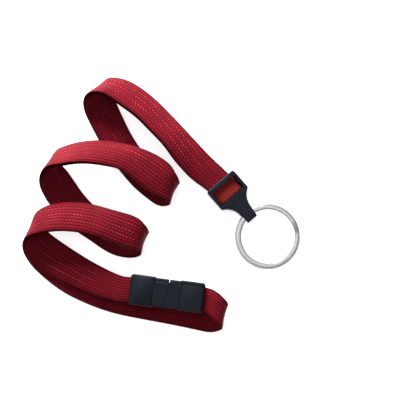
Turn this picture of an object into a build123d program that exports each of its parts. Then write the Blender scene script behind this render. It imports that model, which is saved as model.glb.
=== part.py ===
from build123d import *

import math
import os

# A flat neck lanyard: a doubled braided strap that lies in a flattened spiral, a breakaway clasp in its
# neck loop, a crimp fitting where both strap ends are gripped, and a split ring for keys.
# Millimetres, +Z up, standing on Z = 0. The origin is under the middle of the fitting, ring and clasp.

# --- driving dimensions ---------------------------------------------------------------------------
STRAP_WIDTH = 10.0
STRAP_THICKNESS = 1.2
LAYER_GAP = 0.1
LAYER_OFFSET = (STRAP_THICKNESS + LAYER_GAP) / 2
LONG_SIDE = 1
SHORT_SIDE = -1

FITTING_ENTRY = (1.78, 20.56)
FITTING_ANGLE = -49.0
FITTING_THICKNESS = 4.6
FRAME_WIDTH = 11.8
FRAME_LENGTH = 7.9
FRAME_CORNER = 0.8
FRAME_EDGE = 0.5
NECK_AT = 12.6
NECK_WIDTH = 4.8
SHOULDER_RADIUS = 6.0
SHOULDER_TURN = -48.0
TAB_END = 17.0
TAB_WIDTH = 3.8
WALL = 1.0
EYE_AT = 14.7
EYE_DIAMETER = 3.1
WINDOW_START = 1.7
WINDOW_END = 6.8
WINDOW_WIDTH = 9.8
STRAP_SLOT_END = 7.2
STRAP_SLOT_WIDTH = 10.2
CLAMP_START = 1.2
CLAMP_END = 6.6
CLAMP_WIDTH = 9.0
CLAMP_FIT = 0.05
CLAMP_TEETH = 5
CLAMP_PLATE = 0.75
CLAMP_TOOTH_ROOT = 0.6
CLAMP_TOOTH_INSET = 0.3

RING_DIAMETER = 22.0
WIRE_WIDTH = 1.8
WIRE_HEIGHT = 0.9
WIRE_CHAMFER = 0.25
TURN_GAP = 0.06
RING_CUT = 6.0
CROSSOVER = 40.0
RING_STEP = 8.0
RING_TURNED = 60.0

CLASP_CENTRE = (-16.02, -17.54)
CLASP_ANGLE = -7.4
CLASP_BOTTOM = 1.5
CLASP_THICKNESS = 5.4
CLASP_HALF = 12.6
CLASP_WIDTH = 10.2
WAIST_WIDTH = 9.7
WAIST_HALF = 4.3
WAIST_STEP = 0.05
WAIST_OVERLAP = 1.0
CLASP_ROUND = 1.0
CLASP_EDGE = 0.5
SEAM = 0.05
SEAM_LEAN = 0.12
STRAP_POCKET = 5.2
POCKET_WIDTH = 8.8
POCKET_FIT = 0.05
LID_THICKNESS = 1.3
LID_INSET = 0.25
LID_FIT = 0.05
LID_TEETH = 4
LID_EDGE = 0.3
LID_TOOTH_INSET = 0.4
LID_TOOTH_ROOT = 0.2
LID_TOOTH_CLEARANCE = 0.1
SOCKET_LID_WIDTH = 9.0
PLUG_LID_WIDTH = 8.2
SOCKET_DEPTH = 6.8
SOCKET_WIDTH = 7.2
SOCKET_HEIGHT = 2.3
TONGUE_LENGTH = 6.0
TONGUE_WIDTH = 1.5
TONGUE_HEIGHT = 1.8
TONGUE_AT = 2.3
TONGUE_ROOT = 0.5
BARB = 0.35
BARB_RAMP = 1.6
BARB_LENGTH = 2.4
KEY_NOTCH_WIDTH = 0.35
KEY_NOTCH_DEPTH = 1.1
OVERCUT = 1.0
CLASP_AXIS_HEIGHT = CLASP_BOTTOM + CLASP_THICKNESS / 2

# --- the strap's route ----------------------------------------------------------------------------
# Each station is a point on the line midway between the two layers, and the strap's width vector
# there, from its outer edge to its inner one, as a share of the full width.
DOUBLED_ROUTE = [
    ((6.1, 15.6, 2.3), (-0.75, -0.66, 0.00)),
    ((-1.2, 24.0, 2.3), (-0.75, -0.66, 0.00)),
    ((-7.3, 28.9, 3.6), (-0.64, -0.62, 0.45)),
    ((-15.4, 37.3, 4.6), (-0.58, -0.55, 0.60)),
    ((-23.6, 45.8, 5.2), (-0.48, -0.65, 0.59)),
    ((-32.3, 50.8, 5.8), (-0.23, -0.73, 0.64)),
    ((-39.5, 50.8, 5.9), (-0.49, -0.61, 0.63)),
    ((-39.8, 50.0, 1.3), (-0.79, -0.59, 0.18)),
    ((-36.6, 40.7, 1.3), (-0.92, -0.38, 0.00)),
    ((-33.4, 33.6, 1.3), (-0.87, -0.50, 0.00)),
    ((-27.6, 26.6, 1.3), (-0.72, -0.69, 0.00)),
    ((-19.5, 18.8, 1.3), (-0.60, -0.80, 0.00)),
    ((-14.9, 16.6, 1.3), (-0.45, -0.89, 0.00)),
    ((-14.9, 16.9, 6.9), (-0.50, -0.87, 0.00)),
    ((-19.5, 22.5, 7.0), (-0.63, -0.73, 0.26)),
    ((-27.5, 27.3, 6.9), (-0.37, -0.85, 0.36)),
    ((-39.1, 30.4, 7.2), (0.00, -0.76, 0.65)),
    ((-47.6, 29.7, 6.9), (0.15, -0.59, 0.79)),
    ((-55.3, 25.8, 6.4), (-0.20, -0.65, 0.74)),
    ((-56.1, 24.2, 1.3), (-0.67, -0.67, 0.31)),
    ((-52.5, 17.1, 1.3), (-0.90, -0.43, 0.00)),
    ((-44.6, 8.1, 1.3), (-0.65, -0.76, 0.00)),
    ((-34.4, 1.7, 1.3), (-0.50, -0.87, 0.00)),
    ((-24.9, 0.3, 1.3), (-0.30, -0.95, 0.00)),
    ((-24.7, 0.8, 6.9), (-0.35, -0.94, 0.00)),
    ((-29.4, 3.7, 7.0), (-0.47, -0.82, 0.31)),
    ((-39.6, 7.5, 6.9), (-0.22, -0.89, 0.40)),
    ((-50.3, 8.7, 6.7), (0.04, -0.88, 0.47)),
    ((-61.0, 4.2, 6.0), (-0.27, -0.86, 0.44)),
    ((-61.5, 3.2, 1.3), (-0.75, -0.66, 0.00)),
]
SHORT_TAIL = [
    ((-55.3, -4.2, 1.3), (-0.60, -0.80, 0.00)),
    ((-44.0, -10.6, 1.4), (-0.44, -0.90, 0.00)),
    ((-36.6, -14.2, 2.7), (-0.25, -0.94, 0.00)),
    ((-30.9, -15.6, 3.55), (-0.11, -0.86, 0.00)),
    ((-23.95, -16.51, 3.55), (-0.11, -0.86, 0.00)),
]
LONG_TAIL = [
    ((-56.3, -5.4, 1.3), (-0.66, -0.75, 0.00)),
    ((-44.6, -14.2, 1.3), (-0.43, -0.90, 0.00)),
    ((-30.1, -19.1, 1.3), (-0.22, -0.98, 0.00)),
]
LONG_CUT = ((-19.7, -21.25, 1.3), (-0.22, -0.98, 0.00))
LONG_END = [
    ((-9.3, -23.4, 1.3), (-0.22, -0.98, 0.00)),
    ((2.3, -25.1, 1.3), (-0.31, -0.95, 0.00)),
    ((2.8, -23.8, 6.2), (-0.43, -0.88, 0.00)),
    ((-0.6, -19.55, 3.75), (-0.18, -0.87, 0.00)),
    ((-8.1, -18.57, 3.55), (-0.11, -0.86, 0.00)),
]
RUN_SHARE = 0.45
ARC_STEP = 20.0


# --- helpers --------------------------------------------------------------------------------------
def skin(sections):
    """A closed solid of flat triangles through a row of outlines that have equal numbers of corners."""
    corners = len(sections[0])
    faces = [Face(Wire.make_polygon(sections[0][::-1]))]
    for near, far in zip(sections, sections[1:]):
        for i in range(corners):
            j = (i + 1) % corners
            split = (near[i], far[j]) if i < corners / 2 else (near[j], far[i])
            faces.append(Face(Wire.make_polygon([near[i], near[j], split[1]])))
            faces.append(Face(Wire.make_polygon([split[0], far[j], far[i]])))
    faces.append(Face(Wire.make_polygon(sections[-1])))
    return Solid(Shell(faces))


def mixed(a, b, share):
    """The vector that is the given share of the way from a to b."""
    return a + (b - a) * share


def corner_arc(before, corner, after):
    """Frames (place, direction, width vector) along the arc that rounds one point, and its radius."""
    point, width = corner
    back = before[0] - point
    ahead = after[0] - point
    reach = RUN_SHARE * min(back.length, ahead.length)
    turn = math.pi - math.radians(back.get_angle(ahead))
    radius = reach / math.tan(turn / 2)
    start = point + back.normalized() * reach
    centre = point + (back.normalized() + ahead.normalized()).normalized() * math.hypot(reach, radius)
    outward = (start - centre).normalized()
    onward = back.normalized() * -1
    width_in = mixed(width, before[1], reach / back.length)
    width_out = mixed(width, after[1], reach / ahead.length)
    steps = max(2, math.ceil(math.degrees(turn) / ARC_STEP))
    frames = []
    for step in range(steps + 1):
        share = step / steps
        angle = share * turn
        place = centre + (outward * math.cos(angle) + onward * math.sin(angle)) * radius
        direction = onward * math.cos(angle) - outward * math.sin(angle)
        span = mixed(mixed(width_in, width, share), mixed(width, width_out, share), share)
        frames.append((place, direction, span))
    return frames, radius


def route_frames(stations):
    """Frames along a route of straight runs joined by tangent arcs, and the arcs' radii."""
    points = [(Vector(*place), Vector(*width)) for place, width in stations]
    first = (points[1][0] - points[0][0]).normalized()
    last = (points[-1][0] - points[-2][0]).normalized()
    frames = [(points[0][0], first, points[0][1])]
    radii = []
    for before, corner, after in zip(points, points[1:], points[2:]):
        arc, radius = corner_arc(before, corner, after)
        frames += arc
        radii.append(radius)
    frames.append((points[-1][0], last, points[-1][1]))
    return frames, radii


def strap(name, stations, side):
    """One layer of the doubled strap: side is +1 for the outer layer and -1 for the inner one."""
    frames, radii = route_frames(stations)
    sections = []
    middles = []
    for place, direction, span in frames:
        across = span - direction * span.dot(direction)
        upward = direction.cross(across).normalized()
        middle = place + upward * (side * LAYER_OFFSET)
        half_width = across.normalized() * (span.length * STRAP_WIDTH / 2)
        half_height = upward * (STRAP_THICKNESS / 2)
        middles.append(middle)
        sections.append([
            middle - half_width - half_height,
            middle + half_width - half_height,
            middle + half_width + half_height,
            middle - half_width + half_height,
        ])
    solid = skin(sections)
    length = sum((b - a).length for a, b in zip(middles, middles[1:]))
    expected = sum(
        (b - a).length * (near[1] - near[0]).length * STRAP_THICKNESS
        for a, b, near in zip(middles, middles[1:], sections)
    )
    print(f"{name}: length {length:.1f}, volume {solid.volume:.0f}, section x length {expected:.0f}")
    print("  radii " + " ".join(f"{radius:.1f}" for radius in radii))
    return solid


def block(x0, x1, y0, y1, z0, z1):
    """A box between two opposite corners."""
    centre = ((x0 + x1) / 2, (y0 + y1) / 2, (z0 + z1) / 2)
    return Pos(*centre) * Box(x1 - x0, y1 - y0, z1 - z0)


# --- end fitting: X runs from the strap entry to the eye, Z = 0 is the table -------------------------
def fitting_outline():
    """Plan of the fitting: a square frame that narrows in two hollow shoulders to the tab."""
    side = FRAME_WIDTH / 2
    neck = NECK_WIDTH / 2
    tab = TAB_WIDTH / 2
    onward = (neck - tab - (TAB_END - NECK_AT), neck - tab)
    left = [
        Line((TAB_END, -tab), (TAB_END, tab)),
        Line((TAB_END, tab), (NECK_AT, neck)),
        JernArc((NECK_AT, neck), onward, SHOULDER_RADIUS, SHOULDER_TURN),
    ]
    shoulder_end = left[-1] @ 1
    left += [
        Line(shoulder_end, (FRAME_LENGTH, side)),
        Line((FRAME_LENGTH, side), (0, side)),
        Line((0, side), (0, -side)),
    ]
    right = [mirror(edge, Plane.XZ) for edge in left[1:-1]]
    return make_face(Curve() + left + right)


def fitting_body():
    """The black moulding that holds the strap ends, open behind for the clamp plate."""
    body = extrude(fitting_outline(), FITTING_THICKNESS)
    uprights = body.edges().filter_by(Axis.Z).filter_by_position(Axis.X, -0.1, FRAME_LENGTH + 0.1)
    body = fillet(uprights, FRAME_CORNER)
    body = fillet(body.faces().sort_by(Axis.Z)[-1].edges(), FRAME_EDGE)
    half_slot = STRAP_SLOT_WIDTH / 2
    half_window = WINDOW_WIDTH / 2
    half_clamp = CLAMP_WIDTH / 2
    top = FITTING_THICKNESS
    body -= block(-OVERCUT, STRAP_SLOT_END, -half_slot, half_slot, WALL, top - WALL)
    body -= block(WINDOW_START, WINDOW_END, -half_window, half_window, WALL, top + OVERCUT)
    body -= block(CLAMP_START, CLAMP_END, -half_clamp, half_clamp, -OVERCUT, WALL)
    eye = Pos(EYE_AT, 0, top / 2) * Rot(90, 0, 0) * Cylinder(EYE_DIAMETER / 2, FRAME_WIDTH)
    return body - eye


def fitting_clamp():
    """The plate pressed in from behind, whose ridges bite on the lower strap."""
    half = CLAMP_WIDTH / 2 - CLAMP_FIT
    start = CLAMP_START + CLAMP_FIT
    end = CLAMP_END - CLAMP_FIT
    plate = block(start, end, -half, half, 0, CLAMP_PLATE)
    pitch = (end - start) / CLAMP_TEETH
    for tooth in range(CLAMP_TEETH):
        low = start + pitch * tooth
        ridge = Polyline(
            (low, 0, CLAMP_TOOTH_ROOT),
            (low + pitch / 2, 0, WALL),
            (low + pitch, 0, CLAMP_TOOTH_ROOT),
            close=True,
        )
        plate += extrude(make_face(ridge), half - CLAMP_TOOTH_INSET, both=True)
    return plate


# --- split ring: Z is the ring's axis, its centre is the origin --------------------------------------
def split_ring():
    """Two turns of chamfered square wire, flat but for one short ramp between them."""
    radius = (RING_DIAMETER - WIRE_WIDTH) / 2
    half_width = WIRE_WIDTH / 2
    half_height = WIRE_HEIGHT / 2
    cut = WIRE_CHAMFER
    profile = [
        (half_width, half_height - cut),
        (half_width - cut, half_height),
        (cut - half_width, half_height),
        (-half_width, half_height - cut),
        (-half_width, cut - half_height),
        (cut - half_width, -half_height),
        (half_width - cut, -half_height),
        (half_width, cut - half_height),
    ]
    rise = WIRE_HEIGHT + TURN_GAP
    start = RING_CUT / 2
    steps = round((720 - 2 * CROSSOVER) / RING_STEP)
    sections = []
    for step in range(steps + 1):
        angle = start + (720 - 2 * start) * step / steps
        ramp = min(1, max(0, (angle - 360 + CROSSOVER / 2) / CROSSOVER))
        height = rise * (ramp - 0.5)
        turn = Plane((0, 0, 0), x_dir=(1, 0, 0), z_dir=(0, 0, 1)).rotated((0, 0, angle))
        sections.append([turn.from_local_coords(Vector(radius + r, 0, height + h)) for r, h in profile])
    return skin(sections)


# --- clasp: X runs along the strap, its middle plane is at X = 0 -------------------------------------
def clasp_shell():
    """Outside of one half, from the slanted seam to the strap's end: a waist, then a wider grip."""
    grip_length = CLASP_HALF - WAIST_HALF
    grip = Pos(CLASP_HALF - grip_length / 2, 0, 0) * Box(grip_length, CLASP_WIDTH, CLASP_THICKNESS)
    grip = fillet(grip.edges().filter_by(Axis.Z).sort_by(Axis.X)[-2:], CLASP_ROUND)
    grip = fillet(grip.faces().sort_by(Axis.Z)[-1].edges(), CLASP_EDGE)
    grip = fillet(grip.faces().sort_by(Axis.Z)[0].edges(), CLASP_EDGE)
    half_width = WAIST_WIDTH / 2
    lean = SEAM_LEAN * half_width
    waist_end = WAIST_HALF + WAIST_OVERLAP
    plan = Polyline(
        (SEAM - lean, -half_width),
        (waist_end, -half_width),
        (waist_end, half_width),
        (SEAM + lean, half_width),
        close=True,
    )
    waist = extrude(make_face(plan), CLASP_THICKNESS / 2 - WAIST_STEP, both=True)
    return grip + fillet(waist.edges().filter_by(Axis.X), CLASP_EDGE)


def lid_pocket(width):
    """The space in the top of one half where its lid is pressed in."""
    top = CLASP_THICKNESS / 2
    start = WAIST_HALF + LID_INSET
    end = CLASP_HALF - LID_INSET
    return block(start, end, -width / 2, width / 2, top - LID_THICKNESS, top + OVERCUT)


def strap_pocket():
    """Where the squeezed strap end lies, open at the end and, above it, up to the lid."""
    half = POCKET_WIDTH / 2
    roof = CLASP_THICKNESS / 2 - LID_THICKNESS
    floor = -STRAP_THICKNESS / 2 - POCKET_FIT
    return block(CLASP_HALF - STRAP_POCKET, CLASP_HALF + OVERCUT, -half, half, floor, roof)


def clasp_lid(width):
    """A thin lid with cross ridges that press on the strap."""
    top = CLASP_THICKNESS / 2
    start = WAIST_HALF + LID_INSET + LID_FIT
    end = CLASP_HALF - LID_INSET - LID_FIT
    half = width / 2 - LID_FIT
    lid = block(start, end, -half, half, top - LID_THICKNESS + LID_FIT, top)
    lid = fillet(lid.faces().sort_by(Axis.Z)[-1].edges(), LID_EDGE)
    first = CLASP_HALF - STRAP_POCKET + LID_TOOTH_INSET
    pitch = (end - first) / LID_TEETH
    low = STRAP_THICKNESS / 2 + LID_TOOTH_CLEARANCE
    roof = top - LID_THICKNESS + LID_TOOTH_ROOT
    for tooth in range(LID_TEETH):
        near = first + pitch * tooth
        ridge = Polyline((near, 0, roof), (near + pitch / 2, 0, low), (near + pitch, 0, roof), close=True)
        lid += extrude(make_face(ridge), min(POCKET_WIDTH, width) / 2 - LID_TOOTH_INSET, both=True)
    return lid


def clasp_plug(lid_width):
    """Right half: the grip with two barbed tongues that reach into the socket."""
    body = clasp_shell() - lid_pocket(lid_width) - strap_pocket()
    for hand in (-1, 1):
        middle = hand * TONGUE_AT
        half = TONGUE_WIDTH / 2
        height = TONGUE_HEIGHT / 2
        body += block(-TONGUE_LENGTH, SEAM + TONGUE_ROOT, middle - half, middle + half, -height, height)
        outer = middle + hand * half
        barb = Polyline(
            (-TONGUE_LENGTH, outer, 0),
            (-TONGUE_LENGTH + BARB_RAMP, outer + hand * BARB, 0),
            (-TONGUE_LENGTH + BARB_LENGTH, outer, 0),
            close=True,
        )
        body += extrude(make_face(barb), height, both=True)
    return body


def clasp_socket(lid_width):
    """Left half, drawn like the right one and turned about: a cavity takes the plug's tongues."""
    body = clasp_shell() - lid_pocket(lid_width) - strap_pocket()
    half = SOCKET_WIDTH / 2
    height = SOCKET_HEIGHT / 2
    body -= block(-OVERCUT, SOCKET_DEPTH, -half, half, -height, height)
    edge = -SEAM_LEAN * WAIST_WIDTH / 2
    notch_end = KEY_NOTCH_DEPTH - WAIST_WIDTH / 2
    notch = block(edge - OVERCUT, edge + KEY_NOTCH_WIDTH, -WAIST_WIDTH, notch_end, -CLASP_HALF, CLASP_HALF)
    return Rot(0, 0, 180) * (body - notch)


# --- assembly -------------------------------------------------------------------------------------
fitting_place = Location((*FITTING_ENTRY, 0), (0, 0, FITTING_ANGLE))
clasp_place = Location((*CLASP_CENTRE, CLASP_AXIS_HEIGHT), (0, 0, CLASP_ANGLE))
ring_radius = (RING_DIAMETER - WIRE_WIDTH) / 2
ring_half_height = WIRE_HEIGHT + TURN_GAP / 2
ring_drop = FITTING_THICKNESS / 2 - ring_half_height
ring_droop = math.degrees(math.asin(ring_drop / (RING_DIAMETER - WIRE_WIDTH / 2)))
eye_in_fitting = Location((EYE_AT, 0, FITTING_THICKNESS / 2), (0, ring_droop, 0))
ring_in_eye = eye_in_fitting * Location((ring_radius, 0, 0))

nodes = {
    "fitting_body": fitting_place * fitting_body(),
    "fitting_clamp": fitting_place * fitting_clamp(),
    "split_ring": fitting_place * ring_in_eye * Rot(0, 0, RING_TURNED) * split_ring(),
    "clasp_socket": clasp_place * clasp_socket(SOCKET_LID_WIDTH),
    "clasp_socket_lid": clasp_place * Rot(0, 0, 180) * clasp_lid(SOCKET_LID_WIDTH),
    "clasp_plug": clasp_place * clasp_plug(PLUG_LID_WIDTH),
    "clasp_plug_lid": clasp_place * clasp_lid(PLUG_LID_WIDTH),
    "strap_short": strap("strap_short", DOUBLED_ROUTE + SHORT_TAIL, SHORT_SIDE),
    "strap_long": strap("strap_long", DOUBLED_ROUTE + LONG_TAIL + [LONG_CUT], LONG_SIDE),
    "strap_long_end": strap("strap_long_end", [LONG_CUT] + LONG_END, LONG_SIDE),
}

os.makedirs("parts", exist_ok=True)
for name, shape in nodes.items():
    export_step(shape, f"parts/{name}.step")

body_boxes = [shape.bounding_box() for name, shape in nodes.items() if not name.startswith("strap")]
for axis in ("X", "Y", "Z"):
    low = min(getattr(box.min, axis) for box in body_boxes)
    high = max(getattr(box.max, axis) for box in body_boxes)
    print(f"rigid pieces along {axis}: {low:.3f} to {high:.3f}, middle {(low + high) / 2:.3f}")
eye_world = fitting_place * Location((EYE_AT, 0, FITTING_THICKNESS / 2))
print("eye at", eye_world.position, "ring centre at", (fitting_place * ring_in_eye).position)
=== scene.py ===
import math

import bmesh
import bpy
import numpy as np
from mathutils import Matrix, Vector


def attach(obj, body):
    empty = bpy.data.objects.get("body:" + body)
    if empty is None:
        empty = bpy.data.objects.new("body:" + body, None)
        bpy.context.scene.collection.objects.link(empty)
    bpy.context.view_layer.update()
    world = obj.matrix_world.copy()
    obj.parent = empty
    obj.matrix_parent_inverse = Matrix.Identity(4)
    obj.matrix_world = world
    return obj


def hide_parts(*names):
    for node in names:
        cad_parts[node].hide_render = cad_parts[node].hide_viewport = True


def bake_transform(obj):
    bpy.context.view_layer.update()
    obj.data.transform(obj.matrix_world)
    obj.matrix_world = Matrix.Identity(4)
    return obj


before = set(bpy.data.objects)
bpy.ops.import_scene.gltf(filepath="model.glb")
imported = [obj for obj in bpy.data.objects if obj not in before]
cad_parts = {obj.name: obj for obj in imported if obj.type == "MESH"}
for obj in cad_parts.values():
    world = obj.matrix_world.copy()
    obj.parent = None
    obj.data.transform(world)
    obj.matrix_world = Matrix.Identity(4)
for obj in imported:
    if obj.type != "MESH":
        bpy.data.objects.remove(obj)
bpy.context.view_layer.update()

# %% [markdown]
# A narrow neck lanyard, doubled and lying in a flattened spiral. The frame is the CAD model: the
# crimp fitting, the clasp and the split ring have their places there, and every new piece is worked
# out to fit them, in metres. This lesson makes, in turn, the camera, the strap's line, the braided
# straps and their finish, the clasp's lids, the finish of the black mouldings, the ring's wire, and
# the table and its light.

MM = 0.001
collection = bpy.context.scene.collection

# %% [markdown]
# The camera stands nearly straight above, because the ring on the table should show as an almost true
# circle. It could stand close with a wide lens, but a small product is better seen from far off
# through a narrow angle, which keeps its near and far edges to the same scale.

# %% Camera
VIEW_CENTRE = Vector((-2.2, 11.5, 2.0)) * MM
VIEW_WIDTH = 141 * MM
VIEW_ELEVATION = math.radians(86)
VIEW_DISTANCE = 560 * MM
NEAREST_SEEN = 50 * MM

camera_data = bpy.data.cameras.new("camera")
camera = bpy.data.objects.new("camera", camera_data)
collection.objects.link(camera)
camera_data.lens = camera_data.sensor_width * VIEW_DISTANCE / VIEW_WIDTH
camera_data.clip_start = NEAREST_SEEN
back = Vector((0, -math.cos(VIEW_ELEVATION), math.sin(VIEW_ELEVATION)))
camera.location = VIEW_CENTRE + back * VIEW_DISTANCE
camera.rotation_mode = "QUATERNION"
camera.rotation_quaternion = (-back).to_track_quat("-Z", "Y")
bpy.context.scene.camera = camera
print("camera lens", round(camera_data.lens, 1), "mm")

# %% [markdown]
# The strap's route is a list of stations. Each has a point on the line midway between
# the two layers of the doubled strap, the strap's width there as a vector from the outer edge to the
# inner one, as a share of its full width, and how hollow the strap is across, in mm. A cloth
# simulation could find such a lay by itself, but stations keep every fold where it should be. The
# doubled route is shared by both straps, and each has a tail of its own: the short one goes into the
# clasp's socket half, the long one runs under the clasp, folds back and goes into the plug half.

# %% The strap's sizes and stations
STRAP_WIDTH = 10.0 * MM
STRAP_THICKNESS = 1.2 * MM
LAYER_OFFSET = 0.65 * MM
LAYER_SHIFT = 0.15 * MM
LONG_SIDE = 1
SHORT_SIDE = -1

DOUBLED_ROUTE = [
    ((0.0061, 0.0156, 0.00230), (-0.68, -0.59, 0.00), 0),
    ((0.0014, 0.0202, 0.00230), (-0.68, -0.60, 0.00), 0),
    ((-0.0042, 0.0246, 0.00260), (-0.77, -0.68, 0.04), -0.2),
    ((-0.0097, 0.0304, 0.00370), (-0.75, -0.71, 0.30), -0.3),
    ((-0.0137, 0.0354, 0.00470), (-0.64, -0.65, 0.50), -0.3),
    ((-0.0181, 0.0400, 0.00480), (-0.66, -0.64, 0.56), -0.3),
    ((-0.0230, 0.0450, 0.00500), (-0.63, -0.66, 0.60), -0.3),
    ((-0.0278, 0.0487, 0.00520), (-0.58, -0.73, 0.60), -0.3),
    ((-0.0320, 0.0513, 0.00550), (-0.51, -0.73, 0.62), -0.2),
    ((-0.0360, 0.0528, 0.00580), (-0.49, -0.59, 0.64), 0),
    ((-0.0391, 0.0525, 0.00560), (-0.63, -0.58, 0.60), 0.5),
    ((-0.0403, 0.0508, 0.00420), (-0.76, -0.66, 0.44), 0.6),
    ((-0.0398, 0.0482, 0.00210), (-0.85, -0.76, 0.14), 0.4),
    ((-0.0386, 0.0453, 0.00130), (-0.93, -0.64, 0.00), 0),
    ((-0.0364, 0.0407, 0.00130), (-0.95, -0.51, 0.00), 0),
    ((-0.0329, 0.0338, 0.00130), (-0.92, -0.49, 0.00), 0),
    ((-0.0278, 0.0267, 0.00130), (-0.75, -0.67, 0.00), 0),
    ((-0.0238, 0.0224, 0.00130), (-0.69, -0.78, 0.00), 0),
    ((-0.0196, 0.0190, 0.00130), (-0.62, -0.85, 0.00), 0),
    ((-0.0164, 0.0167, 0.00140), (-0.53, -0.90, 0.02), 0.2),
    ((-0.0141, 0.0164, 0.00290), (-0.34, -0.78, 0.14), 0.9),
    ((-0.0138, 0.0171, 0.00550), (-0.32, -0.71, 0.18), 0.9),
    ((-0.0154, 0.0190, 0.00720), (-0.47, -0.85, 0.00), 0.2),
    ((-0.0184, 0.0212, 0.00740), (-0.62, -1.01, -0.04), -0.2),
    ((-0.0225, 0.0242, 0.00740), (-0.61, -0.98, 0.00), -0.3),
    ((-0.0287, 0.0281, 0.00740), (-0.59, -0.78, 0.16), -0.3),
    ((-0.0347, 0.0294, 0.00700), (-0.54, -0.80, 0.36), -0.3),
    ((-0.0408, 0.0302, 0.00670), (-0.41, -0.81, 0.50), -0.3),
    ((-0.0463, 0.0299, 0.00655), (-0.27, -0.78, 0.59), -0.2),
    ((-0.0509, 0.0289, 0.00625), (-0.22, -0.73, 0.67), 0),
    ((-0.0545, 0.0279, 0.00590), (-0.25, -0.63, 0.66), 0.3),
    ((-0.0562, 0.0256, 0.00480), (-0.39, -0.58, 0.52), 0.6),
    ((-0.0557, 0.0229, 0.00300), (-0.67, -0.68, 0.28), 0.5),
    ((-0.0543, 0.0205, 0.00155), (-0.82, -0.75, 0.05), 0.2),
    ((-0.0521, 0.0171, 0.00130), (-0.86, -0.76, 0.00), 0),
    ((-0.0486, 0.0125, 0.00130), (-0.78, -0.75, 0.00), 0),
    ((-0.0442, 0.0081, 0.00130), (-0.68, -0.80, 0.00), 0),
    ((-0.0395, 0.0047, 0.00130), (-0.58, -0.78, 0.00), 0),
    ((-0.0344, 0.0015, 0.00130), (-0.50, -0.92, 0.00), 0),
    ((-0.0303, -0.0003, 0.00130), (-0.46, -0.92, 0.00), 0),
    ((-0.0264, -0.0008, 0.00140), (-0.42, -0.92, 0.02), 0.2),
    ((-0.0241, -0.0005, 0.00290), (-0.27, -0.81, 0.14), 0.9),
    ((-0.0239, 0.0003, 0.00550), (-0.27, -0.73, 0.18), 0.9),
    ((-0.0256, 0.0018, 0.00720), (-0.41, -0.87, 0.00), 0.2),
    ((-0.0292, 0.0034, 0.00740), (-0.46, -1.02, -0.04), -0.2),
    ((-0.0344, 0.0052, 0.00730), (-0.34, -0.98, 0.02), -0.3),
    ((-0.0398, 0.0070, 0.00700), (-0.27, -1.00, 0.28), -0.3),
    ((-0.0451, 0.0080, 0.00690), (-0.17, -1.02, 0.34), -0.3),
    ((-0.0500, 0.0084, 0.00670), (-0.10, -1.01, 0.38), -0.3),
    ((-0.0545, 0.0080, 0.00640), (-0.08, -0.96, 0.44), -0.3),
    ((-0.0584, 0.0070, 0.00600), (-0.08, -0.90, 0.48), -0.1),
    ((-0.0611, 0.0056, 0.00525), (-0.19, -0.81, 0.47), 0.4),
    ((-0.0623, 0.0036, 0.00405), (-0.36, -0.78, 0.35), 0.6),
    ((-0.0615, 0.0012, 0.00255), (-0.61, -0.85, 0.17), 0.5),
    ((-0.0599, -0.0014, 0.00145), (-0.70, -0.93, 0.03), 0.2),
]
SHORT_TAIL = [
    ((-0.0567, -0.0043, 0.00130), (-0.71, -1.01, 0.00), 0),
    ((-0.0511, -0.0075, 0.00140), (-0.56, -1.00, 0.00), 0),
    ((-0.0449, -0.0109, 0.00170), (-0.44, -0.97, 0.00), 0),
    ((-0.0392, -0.0136, 0.00220), (-0.41, -0.91, 0.00), 0),
    ((-0.0337, -0.0155, 0.00300), (-0.26, -0.85, 0.00), 0),
    ((-0.0303, -0.0164, 0.00355), (-0.15, -0.86, 0.00), 0),
    ((-0.0240, -0.0165, 0.00355), (-0.11, -0.86, 0.00), 0),
]
LONG_TAIL = [
    ((-0.0574, -0.0049, 0.00130), (-0.64, -0.93, 0.00), 0),
    ((-0.0501, -0.0119, 0.00130), (-0.49, -0.88, 0.00), 0),
    ((-0.0418, -0.0161, 0.00130), (-0.43, -0.91, 0.00), 0),
    ((-0.0331, -0.0192, 0.00130), (-0.32, -0.96, 0.00), 0),
    ((-0.0239, -0.0211, 0.00130), (-0.27, -0.96, 0.00), 0),
    ((-0.0139, -0.0229, 0.00130), (-0.23, -0.97, 0.00), 0),
    ((-0.0050, -0.0248, 0.00130), (-0.25, -0.96, 0.00), 0),
    ((-0.0003, -0.0260, 0.00130), (-0.22, -0.94, 0.00), 0.2),
    ((0.0029, -0.0255, 0.00230), (-0.22, -0.84, 0.02), 0.7),
    ((0.0030, -0.0241, 0.00460), (-0.20, -0.85, 0.00), 0.7),
    ((0.0006, -0.0215, 0.00520), (-0.19, -0.88, 0.00), 0.1),
    ((-0.0020, -0.0197, 0.00420), (-0.14, -0.86, 0.00), 0),
    ((-0.0081, -0.0185, 0.00355), (-0.11, -0.86, 0.00), 0),
]
print(len(DOUBLED_ROUTE), "shared stations,", len(SHORT_TAIL), "short,", len(LONG_TAIL), "long")

# %% [markdown]
# A NURBS line passes smoothly by the stations. Three such lines with the same knots are drawn, one
# through the places, one through the width vectors and one through the hollows, so that a place on
# one belongs to the same place on the others, and the strap turns as smoothly as it bends. A Bezier
# curve with a tilt at each point would be the usual way, but a tilt can't lean the width along the
# line, as an oblique fold does.

# %% Reading a smooth line from its stations
SAMPLES_PER_RUN = 24
NURBS_ORDER = 3


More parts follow.
